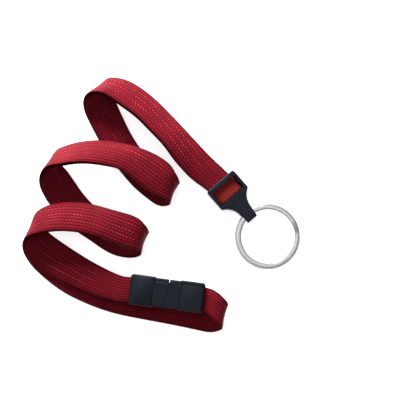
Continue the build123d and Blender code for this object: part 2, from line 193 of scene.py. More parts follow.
def nurbs_line(points):
    """Points along a NURBS spline whose control points are given, ends included."""
    data = bpy.data.curves.new("line", "CURVE")
    data.dimensions = "3D"
    spline = data.splines.new("NURBS")
    spline.points.add(len(points) - 1)
    for control, place in zip(spline.points, points):
        control.co = (*place, 1)
    spline.order_u = NURBS_ORDER
    spline.use_endpoint_u = True
    spline.resolution_u = SAMPLES_PER_RUN
    holder = bpy.data.objects.new("line", data)
    collection.objects.link(holder)
    mesh = bpy.data.meshes.new_from_object(holder)
    line = np.empty(len(mesh.vertices) * 3)
    mesh.vertices.foreach_get("co", line)
    bpy.data.objects.remove(holder)
    bpy.data.curves.remove(data)
    bpy.data.meshes.remove(mesh)
    return line.reshape(-1, 3)


shared_line = nurbs_line([place for place, width, hollow in DOUBLED_ROUTE])
print("the shared route is read at", len(shared_line), "points")

# %% [markdown]
# The strap lies doubled, so each of its two layers runs beside the shared line, a little more than
# half a strap's thickness above or below it. One thick band would be simpler, but it would show no
# gap between the layers at its edges. Each layer's line is read again at even steps, so that all
# knots come out the same length.

# %% Lengths, directions and layers
def unit(vectors):
    """Each row divided by its own length."""
    return vectors / np.linalg.norm(vectors, axis=1, keepdims=True)


def lengths_along(line):
    """Distance of each point from the first: the running sum of the steps' lengths."""
    steps = np.linalg.norm(np.diff(line, axis=0), axis=1)
    return np.concatenate([[0], np.cumsum(steps)])


def at_places(even, along, rows):
    """Rows that are known at the lengths in along, read in between at the even lengths."""
    return np.stack([np.interp(even, along, rows[:, i]) for i in range(3)], axis=1)


def strap_frames(stations, side, step):
    """Evenly spaced middles of one layer, with its width and up vectors, its hollow and its slant.

    up = direction x width, made one long, and middle = route + side * (offset * up + shift * width). The
    shift moves the long strap a little towards the inner edge and the short one towards the outer, so
    that the under layer doesn't show past the upper. The slant is the part of the width that leans along
    the line. The knots are counted with it, so that the braid's rows stay square in an oblique fold."""
    line = nurbs_line([place for place, width, hollow in stations])
    width = nurbs_line([width for place, width, hollow in stations])
    hollow = nurbs_line([(hollow, 0, 0) for place, width, hollow in stations])[:, 0]
    up = unit(np.cross(np.gradient(line, axis=0), width))
    middle = line + up * side * LAYER_OFFSET + width * side * LAYER_SHIFT
    along = lengths_along(middle)
    even = np.linspace(0, along[-1], round(along[-1] / step) + 1)
    middle, width = at_places(even, along, middle), at_places(even, along, width)
    up = unit(at_places(even, along, up))
    slant = np.sum(width * unit(np.gradient(middle, axis=0)), axis=1)
    return even, middle, width, up, np.interp(even, along, hollow) * MM, slant


print("the shared route is", round(lengths_along(shared_line)[-1] / MM, 1), "mm long")

# %% [markdown]
# The strap is a tube of braided polyester, pressed flat, so its section is a flattened oval. A
# rectangle with rounded corners would do too, but its flat faces would show no roundness at the
# edges.

# %% The strap's section
EDGE_ROUNDNESS = 3.2
SECTION_SAMPLES = 2001


def flat_oval(width, thickness, count):
    """Evenly spaced points round a superellipse, and the outward normals there.

    |x / a| ** n + |z / b| ** 2 = 1, with a flatter middle as n grows."""
    angle = np.linspace(0, 2 * math.pi, SECTION_SAMPLES)
    c, s = np.cos(angle), np.sin(angle)
    x = np.sign(c) * np.abs(c) ** (2 / EDGE_ROUNDNESS) * width / 2
    z = s * thickness / 2
    loop = np.stack([x, z, 0 * z], axis=1)
    round_it = lengths_along(loop)
    even = np.arange(count) * round_it[-1] / count
    x, z = np.interp(even, round_it, x), np.interp(even, round_it, z)
    slope = np.stack([np.roll(x, -1) - np.roll(x, 1), np.roll(z, -1) - np.roll(z, 1), 0 * x], axis=1)
    tangent = unit(slope)
    return x, z, tangent[:, 1], -tangent[:, 0]


print("section", STRAP_WIDTH / MM, "x", STRAP_THICKNESS / MM, "mm")

# %% [markdown]
# The braid is real relief, not only bump: columns of short slanted knots, each column leaning the
# other way to its neighbours and starting half a knot later, which gives the small V shapes of a
# braid. A braid of this width may well be finer in reality, but smaller knots couldn't be told apart
# from where the camera stands, so they are drawn as coarse as they need to show.

# %% The braid's relief
KNOT_LENGTH = 1.2 * MM
COLUMNS = 20
KNOT_LEAN = 0.55
KNOT_DIP = 0.4
RELIEF = 0.12 * MM
STEP_ALONG = 0.29 * MM
STEPS_PER_COLUMN = 4


def braid_lift(knots, columns):
    """Height of the braid, 0 in the grooves to 1 on the knots, from places counted in knots and columns.

    lift = cos(pi * across) * (1 - dip + dip * cos(pi * along)), with across and along measured from the
    knot's middle and going from -1/2 to 1/2. The middle moves along the strap with the place across, one
    way in even columns and the other way in odd ones."""
    column = np.floor(columns)
    across = columns - column - 0.5
    lean = np.where(column % 2 == 0, 1, -1) * KNOT_LEAN
    phase = knots + 0.5 * (column % 2) + lean * across
    along = phase - np.floor(phase) - 0.5
    return np.cos(math.pi * across) * (1 - KNOT_DIP + KNOT_DIP * np.cos(math.pi * along))


print(COLUMNS, "columns of knots", KNOT_LENGTH / MM, "mm long and", RELIEF / MM, "mm deep")

# %% [markdown]
# Every new tube here is one grid of points, closed round its section and open at its ends, which two
# more faces close. Filling whole arrays into the mesh is many times quicker than adding one vertex at
# a time. A map and named attributes carry the braid's own coordinates to the finish.

# %% Meshes from arrays
def grid_faces(rows, columns):
    """Quads of a grid that is closed round its columns, with the faces of a tube pointing outwards."""
    row, column = np.meshgrid(np.arange(rows - 1), np.arange(columns), indexing="ij")
    following = (column + 1) % columns
    near, far = row * columns, (row + 1) * columns
    corners = [near + column, near + following, far + following, far + column]
    return np.stack(corners, axis=-1).reshape(-1, 4)


def mesh_object(name, points, quads):
    """A smooth mesh object at the origin from an array of points and an array of quads."""
    mesh = bpy.data.meshes.new(name)
    mesh.vertices.add(len(points))
    mesh.vertices.foreach_set("co", np.ascontiguousarray(points, dtype=np.float32).ravel())
    mesh.loops.add(quads.size)
    mesh.loops.foreach_set("vertex_index", quads.ravel().astype(np.int32))
    mesh.polygons.add(len(quads))
    mesh.polygons.foreach_set("loop_start", np.arange(0, quads.size, 4, dtype=np.int32))
    mesh.polygons.foreach_set("loop_total", np.full(len(quads), 4, dtype=np.int32))
    mesh.update(calc_edges=True)
    mesh.validate()
    mesh.polygons.foreach_set("use_smooth", [True] * len(mesh.polygons))
    made = bpy.data.objects.new(name, mesh)
    collection.objects.link(made)
    return made


def close_ends(made, columns):
    """Fills the first and the last ring of a tube with one face each."""
    count = len(made.data.vertices)
    work = bmesh.new()
    work.from_mesh(made.data)
    work.verts.ensure_lookup_table()
    work.faces.new([work.verts[i] for i in range(columns)][::-1])
    work.faces.new([work.verts[i] for i in range(count - columns, count)])
    work.to_mesh(made.data)
    work.free()


def corner_map(made, name, u, v):
    """A UV map from a u and a v for each corner of each quad, in the order of the quads."""
    layer = made.data.uv_layers.new(name=name)
    layer.data.foreach_set("uv", np.stack([u, v], axis=-1).astype(np.float32).ravel())


def point_attribute(made, name, values):
    """A number for each point of the mesh, which a material can read by its name."""
    made.data.attributes.new(name, "FLOAT", "POINT")
    made.data.attributes[name].data.foreach_set("value", values.astype(np.float32).ravel())


print("a grid of 3 rows and 4 columns has", len(grid_faces(3, 4)), "quads")

# %% [markdown]
# A strap is its section carried along its layer's line, with the braid's relief cut into it. Both
# straps come from one function: they are the same stock, cut to two lengths. Where the fitting's
# window shows the first few millimetres, the strap is pressed hard against the plastic, and an
# attribute marks that place.

# %% The two straps
PRESSED_LENGTH = 6.6 * MM
PRESSED_SHARE = 0.45


def braided_strap(name, stations, side):
    """One strap, with the map that counts its knots and columns, and the attributes edge and pressed.

    The section's point at x across and z up lies at middle + width * x + up * (z - hollow * crown),
    where crown = 1 - (2 * x / strap width) ** 2, so a hollow pulls the strap's middle in at a fold and a
    negative one bulges it. The relief moves each point in along the section's normal, by
    (1 - lift) * depth."""
    along, middle, width, up, hollow, slant = strap_frames(stations, side, STEP_ALONG)
    count = COLUMNS * STEPS_PER_COLUMN
    x, z, nx, nz = flat_oval(STRAP_WIDTH, STRAP_THICKNESS, count)
    knots = (along[:, None] + x * slant[:, None]) / KNOT_LENGTH
    columns = (np.arange(count) + 0.5) / STEPS_PER_COLUMN + np.zeros((len(along), 1))
    depth = (1 - braid_lift(knots, columns)) * RELIEF
    out_x = x - nx * depth
    out_z = z - nz * depth - hollow[:, None] * (1 - (2 * x / STRAP_WIDTH) ** 2)
    points = middle[:, None] + width[:, None] * out_x[..., None] + up[:, None] * out_z[..., None]
    quads = grid_faces(len(along), count)
    made = mesh_object(name, points.reshape(-1, 3), quads)
    column = quads % count
    column[:, 1:3] = column[:, :1] + 1
    corner_map(made, "braid", knots.ravel()[quads], (column + 0.5) / STEPS_PER_COLUMN)
    point_attribute(made, "edge", np.abs(x) * 2 / STRAP_WIDTH + np.zeros((len(along), 1)))
    pressed = PRESSED_SHARE * np.clip((PRESSED_LENGTH - along) / STRAP_THICKNESS, 0, 1)
    point_attribute(made, "pressed", pressed[:, None] + np.zeros(count))
    close_ends(made, count)
    print(name, "length", round(along[-1] / MM, 1), "mm,", len(made.data.polygons), "faces")
    return made, middle, along[-1]


short_strap, short_path, short_length = braided_strap(
    "short_strap", DOUBLED_ROUTE + SHORT_TAIL, SHORT_SIDE)
long_strap, long_path, long_length = braided_strap(
    "long_strap", DOUBLED_ROUTE + LONG_TAIL, LONG_SIDE)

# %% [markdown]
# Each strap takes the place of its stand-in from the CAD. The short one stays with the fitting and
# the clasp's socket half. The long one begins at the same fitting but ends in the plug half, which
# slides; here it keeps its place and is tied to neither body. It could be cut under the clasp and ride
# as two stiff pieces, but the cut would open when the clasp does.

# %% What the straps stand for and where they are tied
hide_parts("strap_short")
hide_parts("strap_long", "strap_long_end")
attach(short_strap, "straps")
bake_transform(long_strap)
print("cords", round(short_length, 4), "and", round(long_length, 4), "m")

# %% [markdown]
# Finishes are built from nodes. One function adds any node with its settings and links, one turns a
# hex colour into linear light, one starts a material, and one fills in a colour ramp.

# %% Helpers for materials
def linear(hex_colour):
    """An sRGB hex colour as linear red, green, blue and alpha."""
    parts = [int(hex_colour[i:i + 2], 16) / 255 for i in (1, 3, 5)]
    return [*[c / 12.92 if c <= 0.04045 else ((c + 0.055) / 1.055) ** 2.4 for c in parts], 1.0]


def add_node(owner, kind, settings=None, inputs=None, links=None):
    """Adds one node to a material or a world: settings are its properties, inputs its fixed values,
    and links its incoming sockets."""
    node = owner.node_tree.nodes.new(kind)
    for key, value in (settings or {}).items():
        setattr(node, key, value)
    for key, value in (inputs or {}).items():
        node.inputs[key].default_value = value
    for key, socket in (links or {}).items():
        owner.node_tree.links.new(socket, node.inputs[key])
    return node


def new_material(name):
    """A node material with only its output and its main shader."""
    material = bpy.data.materials.new(name)
    material.use_nodes = True
    material.node_tree.nodes.clear()
    output = add_node(material, "ShaderNodeOutputMaterial")
    shader = add_node(material, "ShaderNodeBsdfPrincipled")
    material.node_tree.links.new(shader.outputs["BSDF"], output.inputs["Surface"])
    return material, shader


def ramp(owner, factor, stops):
    """A colour ramp through (place, hex colour) stops."""
    node = add_node(owner, "ShaderNodeValToRGB", links={"Fac": factor})
    elements = node.color_ramp.elements
    while len(elements) < len(stops):
        elements.new(0.5)
    for element, (place, colour) in zip(elements, stops):
        element.position = place
        element.color = linear(colour)
    return node


print("mid grey #808080 is", round(linear("#808080")[0], 3), "in linear light")

# %% [markdown]
# The strap's fibre is bright filament polyester: smooth threads with next to no twist, braided into a
# tube. What the eye sees first is the braid: small bright crowns on dark ground. Its colour carries
# painted light: painted highlights on the knots' crowns and painted shade in the gaps between them.
# An image of a real braid could be wrapped round it, but it would slide and stretch at the folds. So
# the nodes repeat the relief's own formula from the map that counts knots and columns, at a sharpness
# that the mesh can't give.

# %% The braid as a pattern of nodes
CROWN_DIP = 0.75
MATHS = "ShaderNodeMath"


def braid_pattern(material):
    """Sockets for the knots' crowns, their phase along the strap, and 1 in odd columns or 0 in even.

    phase = knots + odd / 2 + lean * across, with the lean's sign turned in odd columns, and
    crown = cos(pi * across) * (1 - dip + dip * sin(pi * the phase's fraction))."""
    braid = add_node(material, "ShaderNodeUVMap", {"uv_map": "braid"})
    place = add_node(material, "ShaderNodeSeparateXYZ", links={0: braid.outputs["UV"]})
    knots, columns = place.outputs["X"], place.outputs["Y"]
    column = add_node(material, MATHS, {"operation": "FLOOR"}, links={0: columns})
    odd = add_node(material, MATHS, {"operation": "FLOORED_MODULO"}, {1: 2.0}, {0: column.outputs[0]})
    shifted = add_node(material, MATHS, {"operation": "ADD"}, {1: 0.5}, {0: columns})
    across = add_node(material, MATHS, {"operation": "WRAP"}, {1: 0.5, 2: -0.5}, {0: shifted.outputs[0]})
    lean = add_node(material, MATHS, {"operation": "MULTIPLY_ADD"}, {1: -2 * KNOT_LEAN, 2: KNOT_LEAN},
                    {0: odd.outputs[0]})
    slanted = add_node(material, MATHS, {"operation": "MULTIPLY_ADD"},
                       links={0: lean.outputs[0], 1: across.outputs[0], 2: knots})
    phase = add_node(material, MATHS, {"operation": "MULTIPLY_ADD"}, {1: 0.5},
                     {0: odd.outputs[0], 2: slanted.outputs[0]})
    along = add_node(material, MATHS, {"operation": "WRAP"}, {1: 1.0, 2: 0.0}, {0: phase.outputs[0]})
    turn_along = add_node(material, MATHS, {"operation": "MULTIPLY"}, {1: math.pi},
                          {0: along.outputs[0]})
    hump_along = add_node(material, MATHS, {"operation": "SINE"}, links={0: turn_along.outputs[0]})
    turn_across = add_node(material, MATHS, {"operation": "MULTIPLY"}, {1: math.pi},
                           {0: across.outputs[0]})
    hump_across = add_node(material, MATHS, {"operation": "COSINE"}, links={0: turn_across.outputs[0]})
    dip = add_node(material, MATHS, {"operation": "MULTIPLY_ADD"}, {1: CROWN_DIP, 2: 1 - CROWN_DIP},
                   {0: hump_along.outputs[0]})
    crown = add_node(material, MATHS, {"operation": "MULTIPLY"},
                     links={0: dip.outputs[0], 1: hump_across.outputs[0]})
    return crown.outputs[0], phase.outputs[0], odd.outputs[0]


print("the crowns dip by", CROWN_DIP, "between two knots")

# %% [markdown]
# Piece-dyed polyester takes its colour unevenly. Clouds of a few millimetres make the ground lighter
# and darker. Over that lies painted light: the knots' crowns are painted lighter than the gaps, and
# patches of about a centimetre paint these highlights more or less strongly. Every other column gets
# stronger painted highlights, as if its threads lay towards the light. The painted highlights fade
# towards the strap's edges, and painted shade darkens the fold at each edge most of all.

# %% The dye and its painted light
# The stops run from painted shade in the gaps to painted highlight on the crowns, over the dye's own
# tone.
DYE_AND_CROWN_LIGHT = [(0.0, "#481219"), (0.4, "#68131D"), (0.75, "#801622"), (1.0, "#B03A48")]
# Painted shade: the near-black red that darkens the fold at each edge.
EDGE_SHADE_COLOUR = "#1C0206"
PRESSED_DYE = "#8A3022"
CLOUD_SCALE = 1 / (4 * MM)
PATCH_SCALE = 1 / (12 * MM)
CLOUD_GAIN = 0.5
CLOUD_FLOOR = 0.05
# Painted light: how strongly the crowns of even and of odd columns are lit.
EVEN_COLUMN_LIGHT = 0.6
ODD_COLUMN_EXTRA_LIGHT = 0.5
CROWN_LIGHT_LEVEL = 0.45
MIX_FACTOR, MIX_A, MIX_B, MIXED = 0, 6, 7, 2


def braid_colour_and_painted_light(material, crown, odd):
    """The socket of the dyed colour with painted light: tone = ground + (crown - level) * share, read
    through the ramp's stops. The crown term is painted light: highlights on the crowns, shade in the
    gaps.

    ground = floor + gain * cloud, and share = patch * column * calm, the last falling towards the edges.
    The painted shade of the edge fold and the pressed place are then mixed over the colour."""
    where = add_node(material, "ShaderNodeTexCoord")
    cloud = add_node(material, "ShaderNodeTexNoise", inputs={"Scale": CLOUD_SCALE, "Detail": 3},
                     links={"Vector": where.outputs["Object"]})
    ground = add_node(material, MATHS, {"operation": "MULTIPLY_ADD"}, {1: CLOUD_GAIN, 2: CLOUD_FLOOR},
                      {0: cloud.outputs["Fac"]})
    patch = add_node(material, "ShaderNodeTexNoise", inputs={"Scale": PATCH_SCALE, "Detail": 2},
                     links={"Vector": where.outputs["Object"]})
    # The patches paint the crowns' highlights more or less strongly.
    clear = add_node(material, "ShaderNodeMapRange",
                     inputs={"From Min": 0.35, "From Max": 0.65, "To Min": 0.65, "To Max": 1.05},
                     links={"Value": patch.outputs["Fac"]})
    # Painted light: every other column's crowns are painted lighter, as if its threads faced the light.
    painted_column_light = add_node(material, MATHS, {"operation": "MULTIPLY_ADD"},
                        {1: ODD_COLUMN_EXTRA_LIGHT, 2: EVEN_COLUMN_LIGHT}, {0: odd})
    edge = add_node(material, "ShaderNodeAttribute", {"attribute_name": "edge"})
    calm = add_node(material, "ShaderNodeMapRange", {"interpolation_type": "SMOOTHSTEP"},
                    {"From Min": 0.5, "From Max": 0.95, "To Min": 1.1, "To Max": 0.4},
                    {"Value": edge.outputs["Fac"]})
    rows = add_node(material, MATHS, {"operation": "MULTIPLY"},
                    links={0: clear.outputs["Result"], 1: painted_column_light.outputs[0]})
    share = add_node(material, MATHS, {"operation": "MULTIPLY"},
                     links={0: rows.outputs[0], 1: calm.outputs["Result"]})
    # Painted light: the crown lifts the tone on the knots and lowers it in the gaps.
    painted_crown_light = add_node(material, MATHS, {"operation": "SUBTRACT"}, {1: CROWN_LIGHT_LEVEL}, {0: crown})
    tone = add_node(material, MATHS, {"operation": "MULTIPLY_ADD"},
                    links={0: painted_crown_light.outputs[0], 1: share.outputs[0], 2: ground.outputs[0]})
    colour = ramp(material, tone.outputs[0], DYE_AND_CROWN_LIGHT)
    # Painted shade: towards each edge the colour is mixed with that near-black red.
    painted_edge_shade = add_node(material, "ShaderNodeMapRange", {"interpolation_type": "SMOOTHSTEP"},
                      {"From Min": 0.82, "From Max": 0.98, "To Min": 0.0, "To Max": 0.6},
                      {"Value": edge.outputs["Fac"]})
    edge_shaded = add_node(material, "ShaderNodeMix", {"data_type": "RGBA"}, {MIX_B: linear(EDGE_SHADE_COLOUR)},
                       {MIX_FACTOR: painted_edge_shade.outputs["Result"], MIX_A: colour.outputs["Color"]})
    pressed = add_node(material, "ShaderNodeAttribute", {"attribute_name": "pressed"})
    flushed = add_node(material, "ShaderNodeMix", {"data_type": "RGBA"}, {MIX_B: linear(PRESSED_DYE)},
                       {MIX_FACTOR: pressed.outputs["Fac"], MIX_A: edge_shaded.outputs[MIXED]})
    return flushed.outputs[MIXED]


# The printed stops are the gaps' painted shade and the crowns' painted highlight.
print("dye from", DYE_AND_CROWN_LIGHT[0][1], "in the gaps to", DYE_AND_CROWN_LIGHT[-1][1], "on the crowns")

# %% [markdown]
# Cloth of this kind scatters most of the light, so its reflection is weak. What there is takes the
# dye's colour, because it comes from under the filaments' skin, and loose fibre ends give a trace of
# sheen. A fine thread runs along each knot, which only a bump can show at this size.

# %% Braided polyester
FILAMENTS_PER_KNOT = 7
FILAMENT_HEIGHT = 0.06


def braided_polyester():
    """Bright filament polyester, braided and dyed crimson, with painted highlights on the crowns and
    painted shade in the deep gaps.

    The bump's height is crown + filament height * sin(2 * pi * filaments * phase)."""
    material, shader = new_material("braided_polyester")
    crown, phase, odd = braid_pattern(material)
    link = material.node_tree.links.new
    link(braid_colour_and_painted_light(material, crown, odd), shader.inputs["Base Color"])
    turns = add_node(material, MATHS, {"operation": "MULTIPLY"}, {1: 2 * math.pi * FILAMENTS_PER_KNOT},
                     {0: phase})
    filament = add_node(material, MATHS, {"operation": "SINE"}, links={0: turns.outputs[0]})
    height = add_node(material, MATHS, {"operation": "MULTIPLY_ADD"}, {1: FILAMENT_HEIGHT},
                      {0: filament.outputs[0], 2: crown})
    bump = add_node(material, "ShaderNodeBump", inputs={"Strength": 0.4, "Distance": RELIEF},
                    links={"Height": height.outputs[0]})
    link(bump.outputs["Normal"], shader.inputs["Normal"])
    shader.inputs["Roughness"].default_value = 0.45
    shader.inputs["Specular IOR Level"].default_value = 0.06
    shader.inputs["Specular Tint"].default_value = linear("#FF2A3A")
    shader.inputs["Sheen Weight"].default_value = 0.02
    shader.inputs["Sheen Roughness"].default_value = 0.35
    shader.inputs["Sheen Tint"].default_value = linear("#F01828")
    return material


strap_material = braided_polyester()
for strap in (short_strap, long_strap):
    strap.data.materials.append(strap_material)
print(strap_material.name, "has", len(strap_material.node_tree.nodes), "nodes")

# %% [markdown]
# The black pieces are moulded plastic. The fitting and the two halves of the clasp stay the CAD's
# own. The clasp's lids are made here, because the real ones are swollen like small pillows, which a
# flat plate can't show. The clasp lies turned on the table, so its pieces are worked out straight and
# turned at the end.

# %% Places on the clasp
CLASP_CENTRE = np.array((-16.02, -17.54, 4.2)) * MM
CLASP_ANGLE = math.radians(-7.4)
CLASP_TOP = 2.7 * MM
WAIST_HALF = 4.3 * MM
SEAM_LEAN = 0.12


def turn_about(axis, angle):
    """A rotation matrix about the axis of the given number, 1 for Y and 2 for Z, for rows of points."""
    c, s = math.cos(angle), math.sin(angle)
    if axis == 2:
        return np.array([[c, s, 0], [-s, c, 0], [0, 0, 1]])
    return np.array([[c, 0, -s], [0, 1, 0], [s, 0, c]])


print("the clasp lies at", round(math.degrees(CLASP_ANGLE), 1), "degrees")

# %% [markdown]
# A pillow is a height over a rounded rectangle. It is worked out on rings that grow from the middle
# to the rim, go round the rim and down the side, and come back to the middle underneath, so that its
# skin is closed. A bevelled box with a subdivision surface would be quicker, but its swelling
# couldn't be set.

# %% Pillows
RIM_ROUND = 0.20 * MM
RIM_STEPS = 5
SQUARENESS = 6
POINTS_AROUND = 120
RINGS = 26


def ring_ends(rows, around):
    """Triangles that close the first ring onto the point after the grid, and the last onto the next."""
    ring = np.arange(around)
    following = (ring + 1) % around
    last = (rows - 1) * around
    top = np.stack([np.full(around, rows * around), ring, following], axis=1)
    bottom = np.stack([np.full(around, rows * around + 1), last + following, last + ring], axis=1)
    return top.tolist() + bottom.tolist()


def pillow(name, low, high, base, height):
    """A closed solid over the rounded rectangle from low to high, from its base up to height(x, y).

    In plan a ring is |x / a| ** n + |y / b| ** n = 1, drawn smaller towards the middle. The rim turns
    down in a quarter circle of RIM_ROUND, and the last ring shrinks towards the middle of the base. Near
    the clasp's seam every point moves by lean * y along the clasp, as the seam is slanted."""
    centre = (np.array(low) + np.array(high)) / 2
    half = (np.array(high) - np.array(low)) / 2
    angle = np.arange(POINTS_AROUND) / POINTS_AROUND * 2 * math.pi
    c, s = np.cos(angle), np.sin(angle)
    swell = (np.abs(c) ** SQUARENESS + np.abs(s) ** SQUARENESS) ** (-1 / SQUARENESS)
    ring_x, ring_y = c * swell, s * swell
    share = np.sin(np.linspace(0, math.pi / 2, RINGS))[1:, None]
    inner = half - RIM_ROUND
    x, y = share * ring_x * inner[0], share * ring_y * inner[1]
    z = height(x, y)
    turn = np.linspace(0, math.pi / 2, RIM_STEPS + 1)[1:, None]
    reach, drop = np.sin(turn) * RIM_ROUND, (1 - np.cos(turn)) * RIM_ROUND
    side_x, side_y = ring_x * (inner[0] + reach), ring_y * (inner[1] + reach)
    x = np.concatenate([x, side_x, side_x[-1:], side_x[-1:] * 0.5])
    y = np.concatenate([y, side_y, side_y[-1:], side_y[-1:] * 0.5])
    z = np.concatenate([z, z[-1:] - drop, np.full((2, POINTS_AROUND), base)])
    points = np.stack([x + centre[0], y + centre[1], z], axis=-1).reshape(-1, 3)
    ends = np.array([[*centre, height(0 * centre[:1], 0 * centre[:1])[0]], [*centre, base]])
    points = np.concatenate([points, ends])
    points[:, 0] += SEAM_LEAN * points[:, 1] * np.clip(1 - np.abs(points[:, 0]) / WAIST_HALF, 0, 1)
    placed = points @ turn_about(2, CLASP_ANGLE) + CLASP_CENTRE
    quads = grid_faces(len(x), POINTS_AROUND)[:, ::-1]
    mesh = bpy.data.meshes.new(name)
    mesh.from_pydata(placed.tolist(), [], quads.tolist() + ring_ends(len(x), POINTS_AROUND))
    mesh.polygons.foreach_set("use_smooth", [True] * len(mesh.polygons))
    made = bpy.data.objects.new(name, mesh)
    collection.objects.link(made)
    print(name, len(mesh.polygons), "faces")
    return made


print("a pillow has", RINGS - 1 + RIM_STEPS + 2, "rings of", POINTS_AROUND, "points")

# %% [markdown]
# What lies on top of a pillow is a function of the place on it. The lids swell in both directions
# like a cushion. The finger grips between them have low round ribs across the strap, which keep a
# thumb from slipping. A separate rib could be laid on for each, but one height over the whole plate
# leaves no seams.

# %% Heights of lids and ribs
RIB_PITCH = 0.8 * MM
RIB_HEIGHT = 0.06 * MM


def swollen(rim, rise, half_length, half_width):
    """Height rim + rise * (1 - x ** 2) * (1 - y ** 2), with x and y as shares of the half sizes."""
    return lambda x, y: rim + rise * (1 - (x / half_length) ** 2) * (1 - (y / half_width) ** 2)


def ribbed(rim):
    """Height rim with low round ribs across the strap's direction: rim + h * |cos(pi * x / pitch)|."""
    return lambda x, y: rim + RIB_HEIGHT * np.abs(np.cos(math.pi * x / RIB_PITCH)) + 0 * y


print("ribs", RIB_PITCH / MM, "mm apart and", RIB_HEIGHT / MM, "mm high")

# %% [markdown]
# The socket's lid is the fuller pillow, and the plug's is lower, narrower and nearer to the upper
# edge. Between them lie the finger grips: two plates with fine ribs, one on each half, which meet at
# the slanted seam. Their upper edges differ because the socket's plate stops short of the notch in
# the seam. Each piece moves with its own half of the clasp.

# %% Lids and ribbed waists
LID_BASE = 1.5 * MM
SOCKET_LID_LOW, SOCKET_LID_HIGH = (-12.3 * MM, -4.85 * MM), (-4.55 * MM, 4.85 * MM)
PLUG_LID_LOW, PLUG_LID_HIGH = (4.65 * MM, -4.5 * MM), (12.2 * MM, 4.1 * MM)
SOCKET_RIBS_LOW, SOCKET_RIBS_HIGH = (-4.2 * MM, -4.6 * MM), (-0.08 * MM, 3.5 * MM)
PLUG_RIBS_LOW, PLUG_RIBS_HIGH = (0.08 * MM, -4.6 * MM), (4.2 * MM, 4.6 * MM)
socket_swelling = swollen(CLASP_TOP - 0.05 * MM, 0.62 * MM, 4.0 * MM, 4.9 * MM)
plug_swelling = swollen(CLASP_TOP - 0.12 * MM, 0.26 * MM, 3.8 * MM, 4.3 * MM)
rib_height = ribbed(CLASP_TOP - 0.04 * MM)

socket_cap = pillow("socket_cap", SOCKET_LID_LOW, SOCKET_LID_HIGH, LID_BASE, socket_swelling)
plug_cap = pillow("plug_cap", PLUG_LID_LOW, PLUG_LID_HIGH, LID_BASE, plug_swelling)
socket_ribs = pillow("socket_ribs", SOCKET_RIBS_LOW, SOCKET_RIBS_HIGH, LID_BASE, rib_height)
plug_ribs = pillow("plug_ribs", PLUG_RIBS_LOW, PLUG_RIBS_HIGH, LID_BASE, rib_height)
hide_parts("clasp_socket_lid")
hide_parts("clasp_plug_lid")
for body, pieces in (("straps", (socket_cap, socket_ribs)), ("plug_half", (plug_cap, plug_ribs))):
    for piece in pieces:
        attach(piece, body)

# %% [markdown]
# Moulded plastic takes a fine spark-eroded grain from its mould, which spreads the light. It is
# polished a little by handling, so its roughness varies in soft patches. The clasp is acetal, which
# is springy enough for its tongues, and the fitting is nylon, which is tough. The grain is 0.25 mm,
# several times as coarse as a real one, so that it shows at all.

# %% Moulded plastic
GRAIN_SCALE = 1 / (0.25 * MM)
HANDLING_SCALE = 1 / (3 * MM)
GRAIN_DEPTH = 0.03 * MM
WORN_SHARE = 0.06


def moulded_plastic(name, dark, pale, roughness):
    """Injection-moulded plastic: one colour with faint clouding, and a fine grain in its bump."""
    material, shader = new_material(name)
    link = material.node_tree.links.new
    place = add_node(material, "ShaderNodeTexCoord")
    cloud = add_node(material, "ShaderNodeTexNoise", inputs={"Scale": HANDLING_SCALE, "Detail": 5},
                     links={"Vector": place.outputs["Object"]})
    colour = ramp(material, cloud.outputs["Fac"], [(0.3, dark), (0.7, pale)])
    link(colour.outputs["Color"], shader.inputs["Base Color"])
    worn = add_node(material, "ShaderNodeMapRange",
                    inputs={"From Min": 0.3, "From Max": 0.7,
                            "To Min": roughness - WORN_SHARE, "To Max": roughness + WORN_SHARE},
                    links={"Value": cloud.outputs["Fac"]})
    link(worn.outputs["Result"], shader.inputs["Roughness"])
    grain = add_node(material, "ShaderNodeTexNoise", inputs={"Scale": GRAIN_SCALE, "Detail": 2},
                     links={"Vector": place.outputs["Object"]})
    bump = add_node(material, "ShaderNodeBump", inputs={"Strength": 0.35, "Distance": GRAIN_DEPTH},
                    links={"Height": grain.outputs["Fac"]})
    link(bump.outputs["Normal"], shader.inputs["Normal"])
    shader.inputs["Specular IOR Level"].default_value = 0.2
    return material


def finish_nodes(nodes, material):
    """Gives each of the CAD nodes this one material."""
    for node in nodes:
        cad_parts[node].data.materials.clear()
        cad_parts[node].data.materials.append(material)


clasp_plastic = moulded_plastic("moulded_acetal", "#03080F", "#09111B", 0.48)
fitting_plastic = moulded_plastic("moulded_nylon", "#020309", "#080C1A", 0.48)
finish_nodes(("clasp_socket", "clasp_plug"), clasp_plastic)
finish_nodes(("fitting_body", "fitting_clamp"), fitting_plastic)
for piece in (socket_cap, plug_cap, socket_ribs, plug_ribs):
    piece.data.materials.append(clasp_plastic)
print("finishes", clasp_plastic.name, "and", fitting_plastic.name)

# %% [markdown]
# The split ring is spring steel wire, rolled flat, wound twice and nickel plated. Its two turns lie
# flat on each other but for one short ramp, and the upper turn is a little wider than the lower. A
# curve with a bevel could carry the wire, but it twists a flat section in a coil, so the section is
# placed by formula. One side of the ring hangs in the fitting's eye and the other rests on the table,
# which tilts it slightly.

# %% Split ring
FITTING_ENTRY = np.array((1.78, 20.56, 0)) * MM
FITTING_ANGLE = math.radians(-49)
EYE_PLACE = np.array((14.7, 0, 2.3)) * MM
RING_RADIUS = 10.1 * MM
WIRE_WIDTH = 1.8 * MM
WIRE_HEIGHT = 0.9 * MM
ACROSS_POWER = 0.55
UP_POWER = 0.8
TURN_RISE = 0.96 * MM
TURN_SHIFT = 0.30 * MM
RING_START = math.radians(3)
CROSSOVER = math.radians(40)
RING_TURNED = math.radians(60)
REST_HEIGHT = 0.93 * MM
REST_REACH = 21.1 * MM
RING_DROOP = math.asin((EYE_PLACE[2] - REST_HEIGHT) / REST_REACH)
COIL_STEPS = 420
WIRE_POINTS = 28


